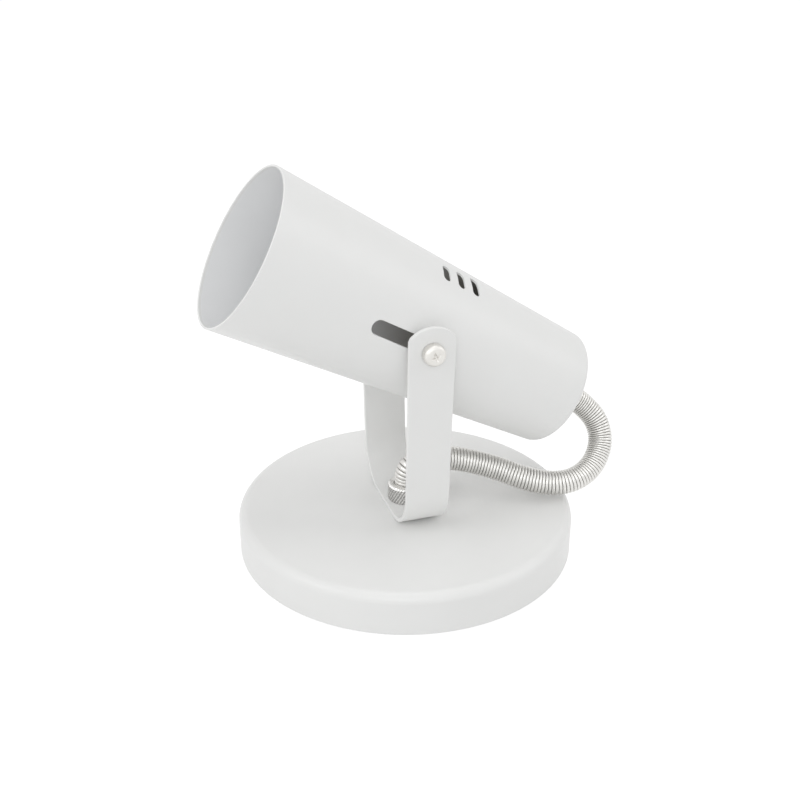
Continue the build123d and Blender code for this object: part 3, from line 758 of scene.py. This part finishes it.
def pan_screw(name, side):
    """A pan-head screw with a tapering cross recess, its axis along Y."""
    outline = profile([
        (0, -SCREW_LENGTH), (SCREW_TIP, -SCREW_LENGTH, 0.3), (SCREW_SHANK, 0.5 - SCREW_LENGTH, 0.1),
        (SCREW_SHANK, 0, 0.1), (SCREW_HEAD, 0, 0.12), (SCREW_HEAD, SCREW_HEIGHT, 1.5), (SCREW_CROWN, SCREW_HEIGHT),
    ], step=9.0)
    segments = 96
    angles = (np.arange(segments) + 0.5) * 2 * math.pi / segments
    ring = np.stack([np.cos(angles), np.sin(angles)], axis=1)
    wall, wall_normals = turned(outline, ring)
    x, y = RECESS_RINGS[:, None] * ring[:, 0], RECESS_RINGS[:, None] * ring[:, 1]
    c, d = math.cos(RECESS_TURN), math.sin(RECESS_TURN)
    one_arm, other_arm = x * c + y * d, y * c - x * d
    sunk = np.zeros_like(x)
    for along, across in ((one_arm, other_arm), (other_arm, one_arm)):
        slope = np.clip(1 - np.abs(along) / RECESS_REACH, 0, 1) ** 0.8
        side_wall = np.clip((RECESS_HALF_WIDTH - np.abs(across)) / RECESS_TAPER, 0, 1)
        sunk = np.maximum(sunk, RECESS_DEPTH * slope * side_wall)
    top = np.stack([x, y, SCREW_HEIGHT - sunk], axis=-1)
    centre = np.broadcast_to(np.array((0, 0, SCREW_HEIGHT - RECESS_DEPTH)), (1, segments, 3))
    up = np.broadcast_to(np.array((0, 0, 1.0)), (len(RECESS_RINGS) + 1, segments, 3))

    def on_side(vectors):
        return np.stack([vectors[..., 0], side * vectors[..., 2], vectors[..., 1]], axis=-1)

    skin = Skin()
    skin.rows(
        on_side(np.concatenate([wall, top, centre])) + np.array((0, side * SCREW_SEAT, EAR_Z)),
        on_side(np.concatenate([wall_normals, up])))
    return skin.mesh(name, [screw_plate], exact=False)


show(pan_screw("tilt_pan_near", -1), "carriage", "tilt_screw_near", slot="screw_plate")
show(pan_screw("tilt_pan_far", 1), "carriage", "tilt_screw_far", slot="screw_plate")

# Conduit: a wound spring and its sleeve along the route

ROUTE = [
    (0.0, 0.0, 20.1), (0.0, 0.0, 26.2), (4.2, 0.0, 30.7), (16.0, -1.0, 30.9), (31.0, -4.8, 26.7), (44.0, -12.3, 21.8),
    (56.3, -16.2, 20.7), (66.9, -14.0, 23.8), (72.9, -9.3, 30.8), (72.6, -5.0, 38.6), (67.6, -1.2, 44.6),
    tuple(PIVOT + AXIS * -72.4), tuple(PIVOT + AXIS * -68.0),
]
ROUTE_RESOLUTION = 240
ROUTE_STEP = 0.05
SEAM = (70.4, -8.0, 33.0)
COIL_RADIUS = 3.93
SEATED_RADIUS = 3.58
SEATED_RUN, FREE_RUN = 2.8, 4.6  # from either end: narrow inside the nuts, then the coil's whole radius
STRIP_HEIGHT = 0.46
STRIP_GAP = 0.09
STEPS_PER_TURN = 30
LOWER_SPACING, UPPER_SPACING = 1.16, 0.98
SPACING_CHANGE = (68.0, 84.0)
SLEEVE_RADIUS = 3.0


def spline_points(route):
    """Points, in millimetres, of the NURBS line whose control points are the route's."""
    data = bpy.data.curves.new("route_line", "CURVE")
    data.dimensions = "3D"
    data.resolution_u = ROUTE_RESOLUTION
    spline = data.splines.new("NURBS")
    spline.points.add(len(route) - 1)
    for point, place in zip(spline.points, route):
        point.co = (place[0] * MM, place[1] * MM, place[2] * MM, 1.0)
    spline.order_u = 3
    spline.use_endpoint_u = True
    obj = bpy.data.objects.new("route_line", data)
    line = bpy.data.meshes.new_from_object(obj)
    points = np.array([v.co for v in line.vertices], float) / MM
    bpy.data.objects.remove(obj)
    bpy.data.curves.remove(data)
    bpy.data.meshes.remove(line)
    return points


def evenly(points, step):
    """Points at even steps along a line, and how far along it each is."""
    run = np.concatenate([[0], np.cumsum(np.linalg.norm(np.diff(points, axis=0), axis=1))])
    at = np.linspace(0, run[-1], round(run[-1] / step) + 1)
    return np.stack([np.interp(at, run, points[:, i]) for i in range(3)], axis=1), at


def frames(line):
    """Directions along a line, and a normal carried along it without twist."""
    way = unit(np.gradient(line, axis=0))
    normals = [np.array((1.0, 0.0, 0.0)) if abs(way[0][0]) < 0.9 else np.array((0.0, 1.0, 0.0))]
    normals[0] = unit(normals[0] - way[0] * (normals[0] @ way[0]))
    for here, after in zip(way, way[1:]):
        n = normals[-1] - after * (normals[-1] @ after)
        normals.append(unit(n))
    return way, np.array(normals)


line, run = evenly(spline_points(ROUTE), ROUTE_STEP)
way, normal = frames(line)
curving = np.gradient(way, run, axis=0)
spacing = np.interp(run, SPACING_CHANGE, (LOWER_SPACING, UPPER_SPACING))
turns = np.concatenate([[0], np.cumsum(np.diff(run) * 2 / (spacing[1:] + spacing[:-1]))])
coil_radius = np.interp(
    run, (SEATED_RUN, FREE_RUN, run[-1] - FREE_RUN, run[-1] - SEATED_RUN),
    (SEATED_RADIUS, COIL_RADIUS, COIL_RADIUS, SEATED_RADIUS))
seam_run = run[np.argmin(np.linalg.norm(line - np.array(SEAM), axis=1))]


def sampled(values, at):
    """Vectors known all along the route, read at distances along it."""
    return np.stack([np.interp(at, run, values[:, i]) for i in range(3)], axis=1)


def swept(name, points, height, half_width, sides, start_normal, material, power=1.0):
    """A section swept along points with its ends closed: round, or a crowned strip where power is under 1."""
    way = unit(np.gradient(points, axis=0))
    normal = unit(start_normal - way * (start_normal * way).sum(1, keepdims=True))
    other = np.cross(way, normal)
    circle = unit_ring(sides).T
    rise, reach = np.sign(circle) * np.abs(circle) ** power
    wide = np.broadcast_to(np.asarray(half_width, float), (len(points),))[:, None, None]
    shell = points[:, None] + (
        height * normal[:, None] * rise[None, :, None] + wide * other[:, None] * reach[None, :, None])
    slope_up, slope_out = np.sign(circle) * np.abs(circle) ** (2 - power)
    ring = unit(wide * normal[:, None] * slope_up[None, :, None] + height * other[:, None] * slope_out[None, :, None])
    skin = Skin()
    ends = np.concatenate([
        np.broadcast_to(points[:1, None], (1, sides, 3)), shell, np.broadcast_to(points[-1:, None], (1, sides, 3)),
    ])
    normals = np.concatenate([
        np.broadcast_to(-way[:1, None], (1, sides, 3)), ring, np.broadcast_to(way[-1:, None], (1, sides, 3)),
    ])
    skin.rows(ends, normals)
    return skin.mesh(name, [material], exact=False)


def coil_part(name, low, high):
    """The spring's wire between two runs of the route."""
    turn_low, turn_high = np.interp([low, high], run, turns)
    count = round((turn_high - turn_low) * STEPS_PER_TURN)
    at = np.interp(np.linspace(turn_low, turn_high, count + 1), turns, run)
    angle = np.linspace(turn_low, turn_high, count + 1) * 2 * math.pi
    centre, along, side = sampled(line, at), unit(sampled(way, at)), sampled(normal, at)
    side = unit(side - along * (side * along).sum(1, keepdims=True))
    radial = side * np.cos(angle)[:, None] + np.cross(along, side) * np.sin(angle)[:, None]
    radius = np.interp(at, run, coil_radius)
    room = np.interp(at, run, spacing) * (1 - radius * (sampled(curving, at) * radial).sum(1))
    wire_line = centre + radius[:, None] * radial
    return swept(name, wire_line, STRIP_HEIGHT, (room - STRIP_GAP) / 2, 12, radial, nickel_wire, 0.8)


def sleeve_part(name, low, high):
    """The sleeve inside the spring, with its texture's coordinates laid round and along it in millimetres."""
    at = np.linspace(low, high, round((high - low) / 0.5) + 1)
    centre, side = sampled(line, at), sampled(normal, at)
    data = swept(name, centre, SLEEVE_RADIUS, SLEEVE_RADIUS, 36, side, sleeve)
    layer = data.uv_layers.new(name="UVMap")
    coords = np.array([v.co for v in data.vertices], float) / MM
    nearest = np.array([np.argmin(((line[::10] - c) ** 2).sum(1)) for c in coords]) * 10
    off = coords - line[nearest]
    other = np.cross(way[nearest], normal[nearest])
    angle = np.arctan2((off * other).sum(1), (off * normal[nearest]).sum(1))
    for polygon in data.polygons:
        first = angle[polygon.vertices[0]]
        for loop in polygon.loop_indices:
            vertex = data.loops[loop].vertex_index
            a = first + (angle[vertex] - first + math.pi) % (2 * math.pi) - math.pi
            layer.data[loop].uv = (a * SLEEVE_RADIUS, run[nearest[vertex]])
    return data


for name, low, high in (("lower", 0.0, seam_run), ("upper", seam_run, run[-1])):
    coil = show(coil_part("conduit_" + name, low, high), None, "spring_conduit", slot="nickel_wire")
    tube = show(sleeve_part("sleeve_" + name, low, high), None, "conduit_sleeve", slot="sleeve")
    for piece in (coil, tube):
        if name == "lower":
            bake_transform(piece)
        else:
            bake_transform(piece)

# Lamp shell with its rolled thread

SHELL_LENGTH = 27.0
SHELL_HOLE = 7.5
SHELL_HALF_WALL = 0.17
SHELL_RADIUS = 13.18
SHELL_DRAWN_IN = 0.38
THREAD_HEIGHT = 0.42
THREAD_LEAD = 3.62
THREAD_START, THREAD_END = 0.8, 1.4  # from the back and from the front
THREAD_FADE = 2.0


def rolled_shell():
    """The holder's shell: sheet rolled into a shallow thread, open in front, with a hole in its back."""
    segments = 108
    z = np.arange(THREAD_START, SHELL_LENGTH - 0.6, 0.26)
    angles = np.arange(segments) * 2 * math.pi / segments
    wave = np.cos(2 * math.pi * z[:, None] / THREAD_LEAD - angles[None])
    inside_ends = np.minimum(z - THREAD_START, SHELL_LENGTH - THREAD_END - z)
    fade = np.clip(inside_ends / THREAD_FADE, 0, 1)[:, None]
    middle = SHELL_RADIUS - SHELL_DRAWN_IN * fade + THREAD_HEIGHT * fade * wave

    def rings(*places):
        return [
            np.stack([radius * np.cos(angles), radius * np.sin(angles), height + 0 * angles], axis=-1)
            for radius, height in places
        ]

    lip = SHELL_LENGTH - 0.3
    points = np.array([
        *rings((SHELL_HOLE, 0.0), (13.0, 0.0), (13.3, 0.15), (13.4, 0.45)),
        *rings(*zip(middle + SHELL_HALF_WALL, z)),
        *rings((13.42, lip), (13.68, SHELL_LENGTH), (13.3, SHELL_LENGTH), (13.1, lip)),
        *rings(*zip(middle[::-1] - SHELL_HALF_WALL, z[::-1])),
        *rings((12.95, 0.75), (12.7, 0.6), (SHELL_HOLE, 0.6)),
    ])
    step = np.roll(points, -1, axis=0) - np.roll(points, 1, axis=0)
    sweep = np.roll(points, -1, axis=1) - np.roll(points, 1, axis=1)
    normals = unit(np.cross(sweep, step))
    skin = Skin()
    skin.rows(along_shade(points + np.array((0, 0, SHELL_BACK))), turn_to_shade(normals), closed_rows=True)
    return skin.mesh("lamp_shell", [shell_plate], exact=False)


show(rolled_shell(), "head", "screw_shell", slot="shell_plate")

# CAD parts whose edges only need softening

JOIN_DISTANCE = 0.002  # millimetres
FLAT_ANGLE = math.radians(0.5)
ROUNDED_ANGLE = math.radians(28)
CREASE_ANGLE = math.radians(40)


def softened(node, width, material):
    """A node's mesh with its flat faces joined and its edges rounded."""
    data = frame["nodes"][node].data.copy()
    data.name = node + "_soft"
    shape = bmesh.new()
    shape.from_mesh(data)
    bmesh.ops.remove_doubles(shape, verts=shape.verts, dist=JOIN_DISTANCE * MM)
    bmesh.ops.dissolve_limit(shape, angle_limit=FLAT_ANGLE, verts=shape.verts, edges=shape.edges)
    sharp = [e for e in shape.edges if len(e.link_faces) == 2 and e.calc_face_angle(0) > ROUNDED_ANGLE]
    bmesh.ops.bevel(shape, geom=sharp, offset=width * MM, segments=2, profile=0.5, affect="EDGES", clamp_overlap=True)
    shape.to_mesh(data)
    shape.free()
    data.materials.clear()
    data.materials.append(material)
    data.polygons.foreach_set("material_index", [0] * len(data.polygons))
    if "custom_normal" in data.attributes:
        data.attributes.remove(data.attributes["custom_normal"])
    data.shade_smooth()
    data.set_sharp_from_angle(angle=CREASE_ANGLE)
    data.update()
    return data


node_body = {node: body for body, members in frame["record"]["behaviour"]["bodies"].items() for node in members}
SOFT = {
    "mounting_bar": (0.2, zinc, "zinc_steel"), "bar_lock_washer": (0.08, zinc, "zinc_steel"),
    "canopy_lock_washer": (0.08, zinc, "zinc_steel"), "bar_locknut": (0.12, zinc, "zinc_steel"),
    "canopy_locknut": (0.12, zinc, "zinc_steel"), "shade_locknut": (0.12, zinc, "zinc_steel"),
    "holder_locknut": (0.12, zinc, "zinc_steel"), "tilt_nut_near": (0.12, zinc, "zinc_steel"),
    "tilt_nut_far": (0.12, zinc, "zinc_steel"), "tilt_washer_near": (0.1, zinc, "zinc_steel"),
    "tilt_washer_far": (0.1, zinc, "zinc_steel"), "holder_yoke": (0.12, zinc, "zinc_steel"),
    "connector_block": (0.3, block_plastic, "block_plastic"), "centre_contact": (0.06, brass_contact, "brass_contact"),
}
for node, (width, material, slot) in SOFT.items():
    show(softened(node, width, material), node_body[node], node, slot=slot)

KEPT = {
    "base_nipple": brass_thread, "shade_nipple": brass_thread, "supply_leads": lead_sheath, "head_leads": lead_sheath,
    "connector_screws": zinc, "yoke_screws": zinc, "terminal_screws": zinc, "holder_body": porcelain,
}
for node, material in KEPT.items():
    slots = frame["nodes"][node].material_slots
    for k in range(len(slots)):
        slots[k].material = material
    if not len(slots):
        frame["nodes"][node].data.materials.append(material)

# Floor and light

FLOOR_RADIUS = 2600.0
FLOOR_COLOR = 0.85
SEEN_FLOOR_COLOR, SEEN_FLOOR_GLOW = 0.26, 0.87
WORLD_LIGHT, SEEN_WORLD = 0.59, 1.0
SOFT_BOX_SIZE = 0.5


def seen_or_mirrored(nodes, links):
    """1 for rays from the camera, off gloss and through glass, and 0 for the light that falls on things."""
    path = nodes.new("ShaderNodeLightPath")
    value = path.outputs["Is Camera Ray"]
    for kind in ("Is Glossy Ray", "Is Transmission Ray"):
        either = nodes.new("ShaderNodeMath")
        either.operation = "MAXIMUM"
        links.new(value, either.inputs[0])
        links.new(path.outputs[kind], either.inputs[1])
        value = either.outputs["Value"]
    return value


def floor_material():
    """White to the camera and in reflections, with the object's shadow still on it."""
    material, nodes, links, shader = node_material("floor_white")
    nodes.remove(shader)
    plain = nodes.new("ShaderNodeBsdfDiffuse")
    plain.inputs["Color"].default_value = (FLOOR_COLOR, FLOOR_COLOR, FLOOR_COLOR, 1)
    faint = nodes.new("ShaderNodeBsdfDiffuse")
    faint.inputs["Color"].default_value = (SEEN_FLOOR_COLOR, SEEN_FLOOR_COLOR, SEEN_FLOOR_COLOR, 1)
    glow = nodes.new("ShaderNodeEmission")
    glow.inputs["Strength"].default_value = SEEN_FLOOR_GLOW
    seen = nodes.new("ShaderNodeAddShader")
    links.new(faint.outputs["BSDF"], seen.inputs[0])
    links.new(glow.outputs["Emission"], seen.inputs[1])
    mix = nodes.new("ShaderNodeMixShader")
    links.new(seen_or_mirrored(nodes, links), mix.inputs["Fac"])
    links.new(plain.outputs["BSDF"], mix.inputs[1])
    links.new(seen.outputs["Shader"], mix.inputs[2])
    links.new(mix.outputs["Shader"], nodes["Material Output"].inputs["Surface"])
    return material


floor_outline = np.array([(r, 0.0, 0.0, 1.0) for r in np.linspace(0.001, FLOOR_RADIUS, 4)])
skin = Skin()
skin.rows(*turned(floor_outline, unit_ring(64)))
obj = bpy.data.objects.new("studio_floor", skin.mesh("studio_floor", [floor_material()]))
obj.location = (0, 0, -0.2 * MM)
bpy.context.scene.collection.objects.link(obj)

world = bpy.data.worlds.new("studio")
bpy.context.scene.world = world
world.use_nodes = True
nodes, links = world.node_tree.nodes, world.node_tree.links
strength = nodes.new("ShaderNodeMapRange")
strength.inputs["To Min"].default_value = WORLD_LIGHT
strength.inputs["To Max"].default_value = SEEN_WORLD
links.new(seen_or_mirrored(nodes, links), strength.inputs["Value"])
nodes["Background"].inputs["Color"].default_value = (1, 1, 1, 1)
links.new(strength.outputs["Result"], nodes["Background"].inputs["Strength"])


def soft_box(name, azimuth, elevation, power, color=(1, 1, 1)):
    """A square lamp one metre from the object; degrees from the front and from the floor."""
    data = bpy.data.lights.new(name, "AREA")
    data.shape = "SQUARE"
    data.size = SOFT_BOX_SIZE
    data.energy = power
    data.color = color
    way = seen_from(math.radians(azimuth), math.radians(elevation))
    obj = bpy.data.objects.new(name, data)
    obj.location = Vector((0, 0, 0.06)) + way
    obj.rotation_euler = (-way).to_track_quat("-Z", "Y").to_euler()
    bpy.context.scene.collection.objects.link(obj)


soft_box("front_box", -18, 30, 1.39, (0.965, 0.99, 1.0))
soft_box("left_box", -80, 30, 1.67)
soft_box("right_box", 70, 29, 1.01)
soft_box("top_box", 0, 89, 1.11)
soft_box("back_box", 160, 50, 0.39)

bpy.context.scene.view_settings.view_transform = "Standard"
